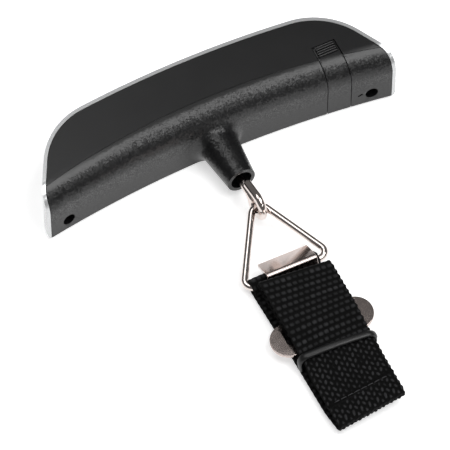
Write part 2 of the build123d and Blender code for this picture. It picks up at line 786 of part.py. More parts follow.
# ================================================================= battery drawer and cell
cell_side = Plane(origin=(cell_x - cell_thick / 2, 0, 0), x_dir=(0, 1, 0), z_dir=(1, 0, 0))
drawer_side = Plane(origin=(drawer_left, 0, 0), x_dir=(0, 1, 0), z_dir=(1, 0, 0))
cover_inner = envelope(0, drawer_wall, -2, drawer_wall + crease_step, shoulder_radius - drawer_wall)
cover_outer = envelope(0, 0, near_wall_lift, crease_step, shoulder_radius)
cradle_side = drawer_right - 0.6 - cradle_web
with BuildPart() as battery_drawer:
    # cover strip, following the casing
    with BuildSketch(drawer_side):
        with Locations((drawer_top_y - drawer_gap - handle_depth, top_z / 2)):
            Rectangle(2 * handle_depth, 2 * top_z)
    extrude(amount=drawer_width)
    add(cover_inner, mode=Mode.SUBTRACT)
    # web beside the cell, with a window, and a rim that drags the cell
    with BuildSketch(drawer_side.offset(cradle_side - drawer_left)):
        with Locations((cell_y - 1.2, cell_z)):
            Rectangle(cell_diameter - 2.0, cell_diameter - 3.0)
        with Locations((cell_y + 2.0, cell_z)):
            Circle(5.0, mode=Mode.SUBTRACT)
    extrude(amount=cradle_web)
    with BuildSketch(cell_side):
        with Locations((near_edge(cell_x) + drawer_wall + 1.6, cell_z - 0.3)):
            Rectangle(4.4, cell_diameter - 4.0)
        with Locations((cell_y, cell_z)):
            Circle(cell_diameter / 2 + cell_gap, mode=Mode.SUBTRACT)
    extrude(amount=cradle_side + cradle_web - (cell_x - cell_thick / 2))
    add(cover_outer, mode=Mode.INTERSECT)
    # grip bars
    for grip_y in (drawer_top_y - 1.0, drawer_top_y - 3.0):
        grip_z = top_z - crease_step - (far_y - grip_y) * tan(slope)
        grip_foot = Plane(
            origin=(drawer_x, grip_y, grip_z - grip_root), x_dir=(1, 0, 0), z_dir=(0, -sin(slope), cos(slope))
        )
        with BuildSketch(grip_foot):
            SlotOverall(drawer_width - 2 * grip_inset, grip_depth)
        extrude(amount=grip_height + grip_root)
finish(battery_drawer, "battery_drawer")

with BuildPart() as coin_cell:
    with BuildSketch(cell_side):
        with Locations((cell_y, cell_z)):
            Circle(cell_diameter / 2)
    extrude(amount=cell_thick)
    fillet(coin_cell.edges().sort_by(Axis.X)[-1], 0.5)
    with BuildSketch(cell_side):
        with Locations((cell_y, cell_z)):
            Circle(cell_diameter / 2)
            Circle(cell_diameter / 2 - 1.2, mode=Mode.SUBTRACT)
    extrude(amount=0.3, mode=Mode.SUBTRACT)
finish(coin_cell, "coin_cell")

# ================================================================= battery contacts
contact_x = cell_x - cell_thick / 2 - cell_gap - contact_thick
contact_foot = board_top
with BuildPart() as negative_contact:
    with BuildSketch(Plane(origin=(contact_x, 0, 0), x_dir=(0, 1, 0), z_dir=(1, 0, 0))):
        with Locations((cell_y, cell_z)):
            Circle(3.0)
        with Locations((cell_y, (cell_z + contact_foot) / 2)):
            Rectangle(3.0, cell_z - contact_foot)
    extrude(amount=contact_thick)
    with BuildSketch(Plane.XY.offset(contact_foot)):
        with Locations(((contact_x + board_length / 2 - 1) / 2, cell_y)):
            Rectangle(contact_x - board_length / 2 + 1, 3.0)
    extrude(amount=contact_thick)
finish(negative_contact, "negative_contact")

with BuildPart() as positive_contact:
    with BuildSketch(Plane(origin=(0, positive_y, 0), x_dir=(-1, 0, 0), z_dir=(0, 1, 0))):
        with Locations((-cell_x + 0.6, cell_z)):
            Rectangle(cell_thick - 0.4, 6.0)
    extrude(amount=contact_thick)
    with BuildSketch(Plane(origin=(0, positive_y, 0), x_dir=(-1, 0, 0), z_dir=(0, 1, 0))):
        with Locations((-(board_length / 2 + cell_x) / 2 + 1, cell_z - 2)):
            Rectangle(cell_x - board_length / 2 + 2, 2.0)
    extrude(amount=contact_thick)
finish(positive_contact, "positive_contact")
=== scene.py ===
"""Looks of a hand-held digital luggage scale that lies on its display, in metres.

The CAD frame gives every place. Each sub-assembly is a class that builds its own meshes and
dresses them with finishes named for the real material and how its surface was made.
"""

import json
import logging
import math
from dataclasses import dataclass
from enum import Enum
from typing import Any, Optional, Sequence

import bpy
from mathutils import Matrix, Vector, noise

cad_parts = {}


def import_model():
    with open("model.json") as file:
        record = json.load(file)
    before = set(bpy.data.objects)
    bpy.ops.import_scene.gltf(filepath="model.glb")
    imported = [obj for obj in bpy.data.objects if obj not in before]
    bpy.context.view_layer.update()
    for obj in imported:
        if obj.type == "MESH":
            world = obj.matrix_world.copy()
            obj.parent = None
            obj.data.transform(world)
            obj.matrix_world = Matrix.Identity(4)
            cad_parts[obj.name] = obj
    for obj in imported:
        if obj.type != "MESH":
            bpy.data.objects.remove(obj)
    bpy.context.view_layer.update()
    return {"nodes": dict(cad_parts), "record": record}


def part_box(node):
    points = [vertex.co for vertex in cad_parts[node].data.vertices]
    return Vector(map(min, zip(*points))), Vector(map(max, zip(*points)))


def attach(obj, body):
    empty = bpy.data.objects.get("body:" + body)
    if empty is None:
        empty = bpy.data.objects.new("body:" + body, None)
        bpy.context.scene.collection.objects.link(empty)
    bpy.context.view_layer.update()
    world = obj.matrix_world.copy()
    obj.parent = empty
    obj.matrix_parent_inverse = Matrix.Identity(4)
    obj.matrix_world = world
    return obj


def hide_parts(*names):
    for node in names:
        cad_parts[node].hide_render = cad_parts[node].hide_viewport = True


MM = 0.001
log = logging.getLogger("luggage_scale")

Socket = Any
Tree = Any


# ================================================================= shading helpers
def linear(code: str) -> tuple[float, float, float, float]:
    """Turns an sRGB hex colour into a linear one.

    Args:
        code: six hex digits with or without a leading hash.

    Returns:
        Red, green, blue and alpha for a shader's colour socket.
    """
    digits = code.lstrip("#")
    channels = [int(digits[i : i + 2], 16) / 255 for i in (0, 2, 4)]
    plain = [c / 12.92 if c <= 0.04045 else ((c + 0.055) / 1.055) ** 2.4 for c in channels]
    return (plain[0], plain[1], plain[2], 1.0)


def add_node(tree: Tree, kind: str, links: Optional[dict] = None, **settings: Any) -> Any:
    """Adds one shader node with its settings and links.

    Args:
        tree: the node tree that takes the node.
        kind: the node's type without the leading ShaderNode.
        links: input name or number to a node, whose first output is used, to a socket or to a plain value.
        settings: attributes of the node itself, such as operation or data_type.

    Returns:
        The new node.
    """
    node = tree.nodes.new("ShaderNode" + kind)
    for name, value in settings.items():
        setattr(node, name, value)
    for key, value in (links or {}).items():
        source = value.outputs[0] if isinstance(value, bpy.types.Node) else value
        if isinstance(source, bpy.types.NodeSocket):
            tree.links.new(source, node.inputs[key])
        else:
            node.inputs[key].default_value = source
    return node


@dataclass(frozen=True)
class Finish:
    """A surface finish: what the eye gets from one material and how it was made."""

    name: str
    colour: str
    roughness: float = 0.5
    metallic: float = 0.0
    ior: Optional[float] = 1.5
    coat: float = 0.0
    coat_roughness: float = 0.05
    sheen: float = 0.0
    blotch: float = 6 * MM
    glossiest: float = 0.85
    dullest: float = 1.15

    def shader(self) -> tuple[Any, Tree, Any]:
        """Makes the material with its plain values set.

        Returns:
            The material, its node tree and its Principled shader.
        """
        material = bpy.data.materials.new(self.name)
        material.use_nodes = True
        tree = material.node_tree
        tree.nodes.clear()
        values = {
            "Base Color": linear(self.colour),
            "Roughness": self.roughness,
            "Metallic": self.metallic,
            "Coat Weight": self.coat,
            "Coat Roughness": self.coat_roughness,
            "Sheen Weight": self.sheen,
        }
        if self.ior is not None:
            values["IOR"] = self.ior
        surface = add_node(tree, "BsdfPrincipled", values)
        add_node(tree, "OutputMaterial", {"Surface": surface})
        return material, tree, surface

    def speckle(self, tree: Tree, grain: float, detail: float = 2.0) -> Any:
        """Lays soft noise from 0 to 1 in the piece's own space.

        Args:
            tree: the node tree.
            grain: the size of one blotch, in metres.
            detail: how many finer octaves there are.

        Returns:
            The noise's node.
        """
        spot = add_node(tree, "TexCoord").outputs["Object"]
        return add_node(tree, "TexNoise", {"Vector": spot, "Scale": 1.0 / grain, "Detail": detail})

    def material(self) -> Any:
        """Makes the material with the faint unevenness in gloss that every real surface has.

        Returns:
            The material.
        """
        material, tree, surface = self.shader()
        limits = {3: self.roughness * self.glossiest, 4: self.roughness * self.dullest}
        gloss = add_node(tree, "MapRange", {0: self.speckle(tree, self.blotch), **limits})
        tree.links.new(gloss.outputs[0], surface.inputs["Roughness"])
        return material


@dataclass(frozen=True)
class GrainedCasing(Finish):
    """Moulded ABS: a smooth satin back panel, and spark-eroded grain on the shoulder and neck.

    The grain breaks the highlight on the shoulder into a fine sparkle, while the panel keeps a
    broad soft reflection.
    """

    handled_colour: str = "#131314"
    crease_middle: float = 0.0
    crease_radius: float = 270 * MM
    grain_from: float = 1.0 * MM
    grain_full: float = 3.0 * MM
    # real spark grain is about 0.2 mm; it is drawn twice as coarse so that it shows
    grain_size: float = 0.40 * MM
    grain_tilt: float = 0.28
    panel_roughness: float = 0.30
    grain_roughness: float = 0.31
    gloss_patch: float = 9 * MM
    gloss_change: float = 0.03
    handled_patch: float = 14 * MM
    floor_line: float = 6 * MM
    floor_grain: float = 0.15

    def grain_mask(self, tree: Tree, spot: Socket) -> Any:
        """Finds where the plastic is grained: below the crease, and less low on the wall.

        Args:
            tree: the node tree.
            spot: the place on the piece, in metres.

        Returns:
            A node whose output is 0 on the panel and 1 on the grain.
        """
        axes = add_node(tree, "SeparateXYZ", {0: spot}).outputs
        # the crease is an arc: y = middle - (radius - sqrt(radius^2 - x^2))
        square = add_node(tree, "Math", {0: axes[0], 1: axes[0]}, operation="MULTIPLY")
        left = add_node(tree, "Math", {0: self.crease_radius**2, 1: square}, operation="SUBTRACT")
        root = add_node(tree, "Math", {0: left}, operation="SQRT")
        crease = add_node(tree, "Math", {0: root, 1: self.crease_middle - self.crease_radius}, operation="ADD")
        below = add_node(tree, "Math", {0: crease, 1: axes[1]}, operation="SUBTRACT")
        started = add_node(tree, "MapRange", {0: below, 1: self.grain_from, 2: self.grain_full})
        # the grain fades out low on the neck-side wall, where the tool was polished
        heights = {1: self.floor_line, 2: 2 * self.floor_line, 3: self.floor_grain, 4: 1.0}
        fade = add_node(tree, "MapRange", {0: axes[2], **heights})
        return add_node(tree, "Math", {0: started, 1: fade}, operation="MULTIPLY")

    def material(self) -> Any:
        """Makes the two-zone plastic.

        Returns:
            The material, with its grain starting at the crease.
        """
        material, tree, surface = self.shader()
        spot = add_node(tree, "TexCoord").outputs["Object"]
        grained = self.grain_mask(tree, spot)
        # every pit of the grain faces its own way, a fine sparkle that a bump this small would lose
        pits = add_node(tree, "TexVoronoi", {"Vector": spot, "Scale": 1.0 / self.grain_size}).outputs["Color"]
        way = add_node(tree, "VectorMath", {0: pits, 1: (0.5, 0.5, 0.5)}, operation="SUBTRACT")
        strength = add_node(tree, "Math", {0: grained, 1: self.grain_tilt}, operation="MULTIPLY")
        tilt = add_node(tree, "VectorMath", {0: way, "Scale": strength}, operation="SCALE")
        facing = add_node(tree, "NewGeometry").outputs["Normal"]
        tilted = add_node(tree, "VectorMath", {0: facing, 1: tilt}, operation="ADD")
        unit = add_node(tree, "VectorMath", {0: tilted}, operation="NORMALIZE")
        tree.links.new(unit.outputs[0], surface.inputs["Normal"])
        zones = add_node(tree, "MapRange", {0: grained, 3: self.panel_roughness, 4: self.grain_roughness})
        limits = {3: -self.gloss_change, 4: self.gloss_change}
        patches = add_node(tree, "MapRange", {0: self.speckle(tree, self.gloss_patch), **limits})
        gloss = add_node(tree, "Math", {0: zones, 1: patches}, operation="ADD")
        tree.links.new(gloss.outputs[0], surface.inputs["Roughness"])
        # handling leaves the panel a shade lighter in soft patches
        shades = {6: linear(self.colour), 7: linear(self.handled_colour)}
        tint = add_node(tree, "Mix", {0: self.speckle(tree, self.handled_patch, 3.0), **shades}, data_type="RGBA")
        tree.links.new(tint.outputs[2], surface.inputs["Base Color"])
        return material


@dataclass(frozen=True)
class WorkedMetal(Finish):
    """Drawn, rolled or milled metal: a clean reflection, broken by faint lines and worn patches."""

    blotch: float = 2.5 * MM
    glossiest: float = 0.7
    dullest: float = 1.5
    scratch: float = 0.25 * MM
    scratch_depth: float = 0.0012 * MM

    def material(self) -> Any:
        """Makes the metal with faint wear in its gloss.

        Returns:
            The material.
        """
        material, tree, surface = self.shader()
        limits = {3: self.roughness * self.glossiest, 4: self.roughness * self.dullest}
        gloss = add_node(tree, "MapRange", {0: self.speckle(tree, self.blotch, 4.0), **limits})
        tree.links.new(gloss.outputs[0], surface.inputs["Roughness"])
        bump = add_node(tree, "Bump", {"Height": self.speckle(tree, self.scratch), "Distance": self.scratch_depth})
        tree.links.new(bump.outputs[0], surface.inputs["Normal"])
        return material


@dataclass(frozen=True)
class WovenYarn(Finish):
    """Woven nylon: near black, each float of yarn a soft lengthwise glint, partly real gloss and partly a painted
    highlight, with painted shade between the floats.

    The floats themselves are in the mesh; this adds the filaments, drawn about three times
    coarser than real ones so that they show.
    """

    # painted shade: the near-black colour of the hollows between floats; the finish's own colour is the painted
    # highlight on their crowns
    shaded_colour: str = "#020202"
    shaded_roughness: float = 0.95
    filament: float = 0.34 * MM
    filament_depth: float = 0.05 * MM
    filament_wander: float = 3.2
    wander_size: float = 1.4 * MM
    glint_size: float = 0.9 * MM
    least_glint: float = 0.3
    crown_from: float = 0.66
    crown_full: float = 0.98

    def material(self) -> Any:
        """Makes the yarn, with a painted highlight along the crowns of the floats and painted shade down between
        them.

        Returns:
            The material.
        """
        material, tree, surface = self.shader()
        threads = add_node(tree, "TexCoord").outputs["UV"]
        flat = add_node(tree, "SeparateXYZ", {0: threads}).outputs
        wander = self.speckle(tree, self.wander_size)
        wander = add_node(tree, "Math", {0: wander, 1: self.filament_wander}, operation="MULTIPLY")
        turns = add_node(tree, "Math", {0: flat[1], 1: 2 * math.pi / self.filament}, operation="MULTIPLY")
        phase = add_node(tree, "Math", {0: turns, 1: wander}, operation="ADD")
        wave = add_node(tree, "Math", {0: phase}, operation="SINE")
        strand = add_node(tree, "Math", {0: wave, 1: 0.5, 2: 0.5}, operation="MULTIPLY_ADD")
        bump = add_node(tree, "Bump", {"Height": strand, "Distance": self.filament_depth})
        tree.links.new(bump.outputs[0], surface.inputs["Normal"])
        # painted light: the colour follows each float's height, a painted highlight on the crowns and painted
        # shade in the hollows, at the seams and at the selvedges
        crown = add_node(tree, "Attribute", attribute_name="crown").outputs["Fac"]
        crown = add_node(tree, "MapRange", {0: crown, 1: self.crown_from, 2: self.crown_full})
        # random painted glints along the crowns
        glint = self.speckle(tree, self.glint_size, 3.0)
        glint = add_node(tree, "MapRange", {0: glint, 3: self.least_glint, 4: 1.0})
        lit = add_node(tree, "Math", {0: crown, 1: glint}, operation="MULTIPLY")
        shades = {6: linear(self.shaded_colour), 7: linear(self.colour)}
        tint = add_node(tree, "Mix", {0: lit, **shades}, data_type="RGBA")
        tree.links.new(tint.outputs[2], surface.inputs["Base Color"])
        gloss = add_node(tree, "MapRange", {0: lit, 3: self.shaded_roughness, 4: self.roughness})
        tree.links.new(gloss.outputs[0], surface.inputs["Roughness"])
        return material


@dataclass(frozen=True)
class SoftPolymer(Finish):
    """A polymer with a dull, dusty bloom that softens its highlight."""

    bloom: float = 0.5 * MM
    bloom_depth: float = 0.006 * MM
    bloom_gloss: float = 0.06
    bloom_dull: float = 0.08

    def material(self) -> Any:
        """Makes the polymer with its bloom and very fine pitting.

        Returns:
            The material.
        """
        material, tree, surface = self.shader()
        dust = self.speckle(tree, self.bloom, 5.0)
        limits = {3: self.roughness - self.bloom_gloss, 4: self.roughness + self.bloom_dull}
        gloss = add_node(tree, "MapRange", {0: dust, **limits})
        tree.links.new(gloss.outputs[0], surface.inputs["Roughness"])
        bump = add_node(tree, "Bump", {"Height": dust, "Distance": self.bloom_depth})
        tree.links.new(bump.outputs[0], surface.inputs["Normal"])
        return material


@dataclass(frozen=True)
class MouldedRubber(SoftPolymer):
    """Moulded elastomer, with the bloom that works its way out of rubber."""


@dataclass(frozen=True)
class TwistedThread(SoftPolymer):
    """Polyester sewing thread, whose loose fibres do what bloom does on rubber."""


@dataclass(frozen=True)
class CircuitBoard(Finish):
    """Solder mask over copper: raised tracks show through the green as slightly lighter lines."""

    track_colour: str = "#2c7a45"
    pitch: float = 2.0 * MM
    track_share: float = 0.06
    copper: float = 0.03 * MM

    def material(self) -> Any:
        """Makes the board with right-angled tracks.

        Returns:
            The material.
        """
        material, tree, surface = self.shader()
        spot = add_node(tree, "TexCoord").outputs["Object"]
        layout = {"Scale": 1.0 / (4 * self.pitch), "Mortar Size": self.track_share}
        tracks = add_node(tree, "TexBrick", {"Vector": spot, **layout}).outputs["Fac"]
        shades = {6: linear(self.colour), 7: linear(self.track_colour)}
        tint = add_node(tree, "Mix", {0: tracks, **shades}, data_type="RGBA")
        tree.links.new(tint.outputs[2], surface.inputs["Base Color"])
        bump = add_node(tree, "Bump", {"Height": tracks, "Distance": self.copper})
        tree.links.new(bump.outputs[0], surface.inputs["Normal"])
        return material


@dataclass(frozen=True)
class ClearWindow(Finish):
    """Cast acrylic: clear, polished, with a faint smoky tint."""

    blotch: float = 5 * MM
    glossiest: float = 0.6
    dullest: float = 1.6
    clearness: float = 0.95

    def shader(self) -> tuple[Any, Tree, Any]:
        """Makes the window's material, which lets the display show through.

        Returns:
            The material, its node tree and its Principled shader.
        """
        material, tree, surface = super().shader()
        surface.inputs["Transmission Weight"].default_value = self.clearness
        return material, tree, surface


class Dress(Enum):
    """The finishes this scale is made in."""

    # silver paint on a moulding: a soft metallic grey under a clear gloss
    SILVER_SHELL = Finish(
        "satin_silver_painted_abs", "#d0d1d2", roughness=0.22, metallic=0.5, coat=0.4, coat_roughness=0.1
    )
    # near-black plastic, satin on the panel and sparkling on the shoulder
    CASING = GrainedCasing("moulded_and_spark_grained_abs", "#0d0d0e", crease_middle=0.2 * MM)
    # a warm mirror, drawn out along the wire
    NICKEL = WorkedMetal("polished_nickel_plated_wire", "#d9cfca", roughness=0.07, metallic=1.0, ior=None)
    # a warm mirror, softened by the rolled sheet under the plate
    STAMPED = WorkedMetal("polished_nickel_plated_sheet", "#c8bbb6", roughness=0.12, metallic=1.0, ior=None)
    # black cloth, with a dull glint on the crown of each float, partly real gloss and partly a painted highlight,
    # and painted shade between the floats
    WEBBING = WovenYarn("woven_nylon_webbing", "#39393b", roughness=0.5, ior=1.3, sheen=0.03)
    # a dull grey line that shows just lighter than the cloth
    THREAD = TwistedThread("twisted_polyester_thread", "#38383a", roughness=0.55, ior=1.42, sheen=0.06)
    # black, with one long soft highlight
    BAND = MouldedRubber("moulded_rubber_band", "#0d0d0e", roughness=0.38)
    # dull black with no clear highlight
    BUTTON = MouldedRubber("moulded_silicone_key", "#161618", roughness=0.5)
    # flat off-white
    SYMBOL = Finish("pad_printed_ink", "#d4d6d8", roughness=0.55)
    # clear, with sharp reflections
    WINDOW = ClearWindow("polished_acrylic", "#eef2f2", roughness=0.03, ior=1.49)
    # grey-green glass with a clear gloss
    DISPLAY = Finish("liquid_crystal_glass", "#9aa596", roughness=0.18, coat=0.5)
    # dark grey-green, lying in the glass
    SEGMENT = Finish("liquid_crystal_segment", "#39423a", roughness=0.3)
    # milky, with a waxy half-gloss
    NYLON = Finish("moulded_natural_nylon", "#d9d6cb", roughness=0.45)
    # matt dark grey
    STRIPED_RUBBER = MouldedRubber("striped_conductive_rubber", "#3b3b40", roughness=0.7)
    # glossy green over lighter tracks
    BOARD = CircuitBoard("solder_masked_board", "#175a2f", roughness=0.35, coat=0.4)
    # a shiny black blob
    EPOXY = Finish("cast_black_epoxy", "#101012", roughness=0.3)
    # satin, slightly yellow metal
    SPRING = WorkedMetal("tinned_spring_strip", "#cfc9b8", roughness=0.22, metallic=1.0, ior=None)
    # dark, oily metal
    SCREW = WorkedMetal("black_oxide_steel", "#3c3c40", roughness=0.35, metallic=1.0, ior=None)
    # pale, dull metal from the cutter
    BEAM = WorkedMetal("milled_aluminium", "#c9cbcd", roughness=0.3, metallic=1.0, ior=None)
    # orange-brown film with a half-gloss
    GAUGE = Finish("amber_polyimide_foil", "#b5762d", roughness=0.35)
    # pale steel with a broad soft highlight
    CELL = WorkedMetal("brushed_stainless_can", "#c6c7c9", roughness=0.24, metallic=1.0, ior=None)
    # even white
    FLOOR = Finish("matt_white_board", "#f4f4f4", roughness=0.75)

    def material(self) -> Any:
        """The finish's material, made once."""
        made = bpy.data.materials.get(self.value.name)
        return made or self.value.material()


# ================================================================= mesh helpers
# a cut wire's end: how far its dome stands out, as a share of the radius, and where its rings lie
DOME_HEIGHT = 0.6
DOME_STEPS = tuple(math.radians(degrees) for degrees in (0, 20, 40, 60, 78))
# vertices of the CAD mesh that are closer than this are one
WELD_REACH = 0.002 * MM
# how strongly broad faces steer the shading of a rounded edge, from 1 to 100
BROAD_FACE_WEIGHT = 80


def new_object(name: str, verts: Sequence, faces: Sequence, smooth: bool = True) -> Any:
    """Makes a mesh object in the scene.

    Args:
        name: the piece's name.
        verts: points in metres.
        faces: corner lists.
        smooth: whether faces shade smooth.

    Returns:
        The object.
    """
    mesh = bpy.data.meshes.new(name)
    mesh.from_pydata([tuple(v) for v in verts], [], faces)
    mesh.validate()
    if smooth:
        mesh.polygons.foreach_set("use_smooth", [True] * len(mesh.polygons))
    made = bpy.data.objects.new(name, mesh)
    bpy.context.scene.collection.objects.link(made)
    return made


def dress(piece: Any, finish: Dress) -> Any:
    """Gives a piece one finish on all its faces.

    Args:
        piece: the object.
        finish: its finish.

    Returns:
        The object.
    """
    piece.data.materials.clear()
    piece.data.materials.append(finish.material())
    return piece


def sweep_rings(rings: Sequence[Sequence[Vector]], close_along: bool, caps: bool) -> tuple[list, list]:
    """Joins closed rings of points into a skin.

    Args:
        rings: point rings of equal length.
        close_along: joins the last ring to the first.
        caps: closes both ends with one face each.

    Returns:
        The points and the faces.
    """
    count = len(rings[0])
    verts = [p for ring in rings for p in ring]
    faces = []
    pairs = len(rings) if close_along else len(rings) - 1
    for r in range(pairs):
        here, there = r * count, ((r + 1) % len(rings)) * count
        for i in range(count):
            j = (i + 1) % count
            faces.append((here + i, here + j, there + j, there + i))
    if caps:
        faces.append(tuple(range(count - 1, -1, -1)))
        faces.append(tuple(range((len(rings) - 1) * count, len(rings) * count)))
    return verts, faces


def rounded_corners(
    points: Sequence[Vector], radii: Sequence[float], step: float, closed: bool
) -> list[Vector]:
    """Replaces corners of a path with arcs.

    Args:
        points: the sharp path.
        radii: one radius per point; 0 keeps the point.
        step: the largest distance between points on an arc.
        closed: whether the last point joins the first.

    Returns:
        The rounded path.
    """
    out = []
    count = len(points)
    for i, point in enumerate(points):
        if radii[i] <= 0 or (not closed and i in (0, count - 1)):
            out.append(point.copy())
            continue
        back = (points[i - 1] - point).normalized()
        ahead = (points[(i + 1) % count] - point).normalized()
        half = back.angle(ahead) / 2
        reach = radii[i] / math.tan(half)
        centre = point + (back + ahead).normalized() * (radii[i] / math.sin(half))
        first, last = point + back * reach, point + ahead * reach
        start, end = first - centre, last - centre
        turn = start.angle(end)
        pieces = max(4, int(turn * radii[i] / step) + 1)
        axis = start.cross(end).normalized()
        out += [centre + Matrix.Rotation(turn * k / pieces, 3, axis) @ start for k in range(pieces + 1)]
    return out


def resample(points: Sequence[Vector], step: float, closed: bool) -> list[Vector]:
    """Spaces a path's points evenly.

    Args:
        points: the path.
        step: the spacing wanted.
        closed: whether the path is a loop.

    Returns:
        The evenly spaced path.
    """
    loop = list(points) + ([points[0]] if closed else [])
    marks = [0.0]
    for a, b in zip(loop, loop[1:]):
        marks.append(marks[-1] + (b - a).length)
    count = max(8, round(marks[-1] / step))
    out, k = [], 0
    for i in range(count if closed else count + 1):
        want = marks[-1] * i / count
        while k < len(marks) - 2 and marks[k + 1] < want:
            k += 1
        span = marks[k + 1] - marks[k]
        out.append(loop[k].lerp(loop[k + 1], (want - marks[k]) / span if span else 0.0))
    return out


def wire(
    name: str, path: Sequence[Vector], radius: float, closed: bool, domed: bool = True, sides: int = 28
) -> Any:
    """Sweeps a round wire along a path, with domed ends.

    Args:
        name: the piece's name.
        path: evenly spaced points of the wire's middle.
        radius: the wire's radius.
        closed: whether the wire is a ring.
        domed: whether open ends are domed.
        sides: points round the wire.

    Returns:
        The object.
    """
    count = len(path)
    turns = [2 * math.pi * k / sides for k in range(sides)]
    rings = []
    side = None
    for i, point in enumerate(path):
        if closed:
            heading = path[(i + 1) % count] - path[i - 1]
        else:
            heading = path[min(i + 1, count - 1)] - path[max(i - 1, 0)]
        heading.normalize()
        if side is None:
            side = heading.orthogonal().normalized()
        side = (side - heading * side.dot(heading)).normalized()
        other = heading.cross(side)
        spokes = [side * math.cos(turn) + other * math.sin(turn) for turn in turns]
        if closed or not domed or 0 < i < count - 1:
            rings.append([point + s * radius for s in spokes])
            continue
        way = heading * (DOME_HEIGHT * radius * (-1 if i == 0 else 1))
        dome = [[point + way * math.sin(a) + s * (radius * math.cos(a)) for s in spokes] for a in DOME_STEPS]
        rings += dome[::-1] if i == 0 else dome
    verts, faces = sweep_rings(rings, closed, not closed)
    return new_object(name, verts, faces)


def soften_edges(piece: Any, width: float, segments: int = 2, angle: float = 35.0) -> Any:
    """Rounds a CAD piece's sharp edges with modifiers, and shades it smooth.

    Args:
        piece: the object.
        width: the width of the round.
        segments: steps across it.
        angle: edges sharper than this many degrees are rounded.

    Returns:
        The object.
    """
    piece.data.polygons.foreach_set("use_smooth", [True] * len(piece.data.polygons))
    weld = piece.modifiers.new("weld", "WELD")
    weld.merge_threshold = WELD_REACH
    bevel = piece.modifiers.new("edge_round", "BEVEL")
    bevel.width = width
    bevel.segments = segments
    bevel.limit_method = "ANGLE"
    bevel.angle_limit = math.radians(angle)
    bevel.harden_normals = False
    bevel.use_clamp_overlap = True
    even = piece.modifiers.new("even_normals", "WEIGHTED_NORMAL")
    even.keep_sharp = False
    even.weight = BROAD_FACE_WEIGHT
    return piece


def face_middle(node: str) -> Vector:
    """The middle of the face that a CAD piece turns to the table."""
    low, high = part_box(node)
    return Vector(((low[0] + high[0]) / 2, (low[1] + high[1]) / 2, low[2]))


def smooth_step(low: float, high: float, value: float) -> float:
    """Eases from 0 at low to 1 at high."""
    t = min(1.0, max(0.0, (value - low) / (high - low)))
    return t * t * (3 - 2 * t)


# ================================================================= sub-assemblies
@dataclass(frozen=True)
class StrapSpace:
    """Where the strap lies: the bar it hangs on, and the ways across, along and up from it."""

    bar: Vector
    across: Vector
    along: Vector
    up: Vector
    bar_height: float = 2.95 * MM

    @classmethod
    def from_joints(cls, joints: Sequence[dict]) -> "StrapSpace":
        """Reads the strap's frame from its joints.

        Args:
            joints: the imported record's joints.

        Returns:
            The strap's space.
        """
        named = {joint["name"]: joint for joint in joints}
        swing = named["strap_swing"]
        across = -Vector(swing["axis"]).normalized()
        along = Vector(named["band_slide"]["axis"]).normalized()
        return cls(Vector(swing["pos_m"]), across, along, along.cross(across).normalized())

    def at(self, side: float, down: float, height: float) -> Vector:
        """A point by its distance across, along and above what the strap lies on, in metres."""
        return self.bar + self.across * side + self.along * down + self.up * (height - self.bar_height)


@dataclass
class Casing:
    """The handle's two shells, the battery drawer and the window, on the CAD's own solids."""

    nodes: dict[str, Any]
    edge_round: float = 0.34 * MM
    fine_round: float = 0.2 * MM
    slope: float = math.radians(7.6)
    tab_depth: float = 0.5 * MM
    rib_count: int = 5
    rib_pitch: float = 0.86 * MM
    rib_first: float = 0.45 * MM
    rib_inset: float = 0.35 * MM
    rib_half: float = 0.3 * MM
    rib_proud: float = 0.32 * MM
    rib_root: float = 0.3 * MM
    # how a rib swells: its share of the length, and its share of the height there
    rib_swell: tuple = ((0.0, 0.25), (0.04, 0.8), (0.1, 1.0), (0.9, 1.0), (0.96, 0.8), (1.0, 0.25))

    def build(self) -> None:
        """Rounds the moulded edges and dresses the shells."""
        soften_edges(dress(self.nodes["front_shell"], Dress.SILVER_SHELL), self.edge_round)
        soften_edges(dress(self.nodes["rear_casing"], Dress.CASING), self.fine_round)
        soften_edges(dress(self.nodes["battery_drawer"], Dress.CASING), self.fine_round)
        soften_edges(dress(self.nodes["display_window"], Dress.WINDOW), self.fine_round)
        soften_edges(dress(self.nodes["neck_bush"], Dress.NYLON), self.fine_round)
        self.build_grip()
        log.info("handle: shells, drawer, window and neck bush")

    def build_grip(self) -> None:
        """Moulds the finger ribs on the drawer's tab."""
        spots = [v.co for v in self.nodes["battery_drawer"].data.vertices]
        top = max(spot.z for spot in spots)
        tab = [spot for spot in spots if spot.z > top - self.tab_depth]
        left, right = min(s.x for s in tab) + self.rib_inset, max(s.x for s in tab) - self.rib_inset
        far = max(s.y for s in tab)
        arc = [math.radians(degrees) for degrees in range(0, 181, 20)]
        verts: list[Vector] = []
        faces: list[tuple] = []
        for k in range(self.rib_count):
            y = far - self.rib_first - k * self.rib_pitch
            z = top - (far - y) * math.tan(self.slope)
            rings = []
            for share, swell in self.rib_swell:
                x, rise = left + (right - left) * share, self.rib_proud * swell
                ring = [Vector((x, y + math.cos(a) * self.rib_half, z + math.sin(a) * rise)) for a in arc]
                ring += [Vector((x, y + end * self.rib_half, z - self.rib_root)) for end in (-1, 1)]
                rings.append(ring)
            more, skin = sweep_rings(rings, False, True)
            base = len(verts)
            verts += more
            faces += [tuple(base + i for i in face) for face in skin]
        piece = dress(new_object("drawer_grip_ribs", verts, faces), Dress.CASING)
        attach(piece, "drawer")


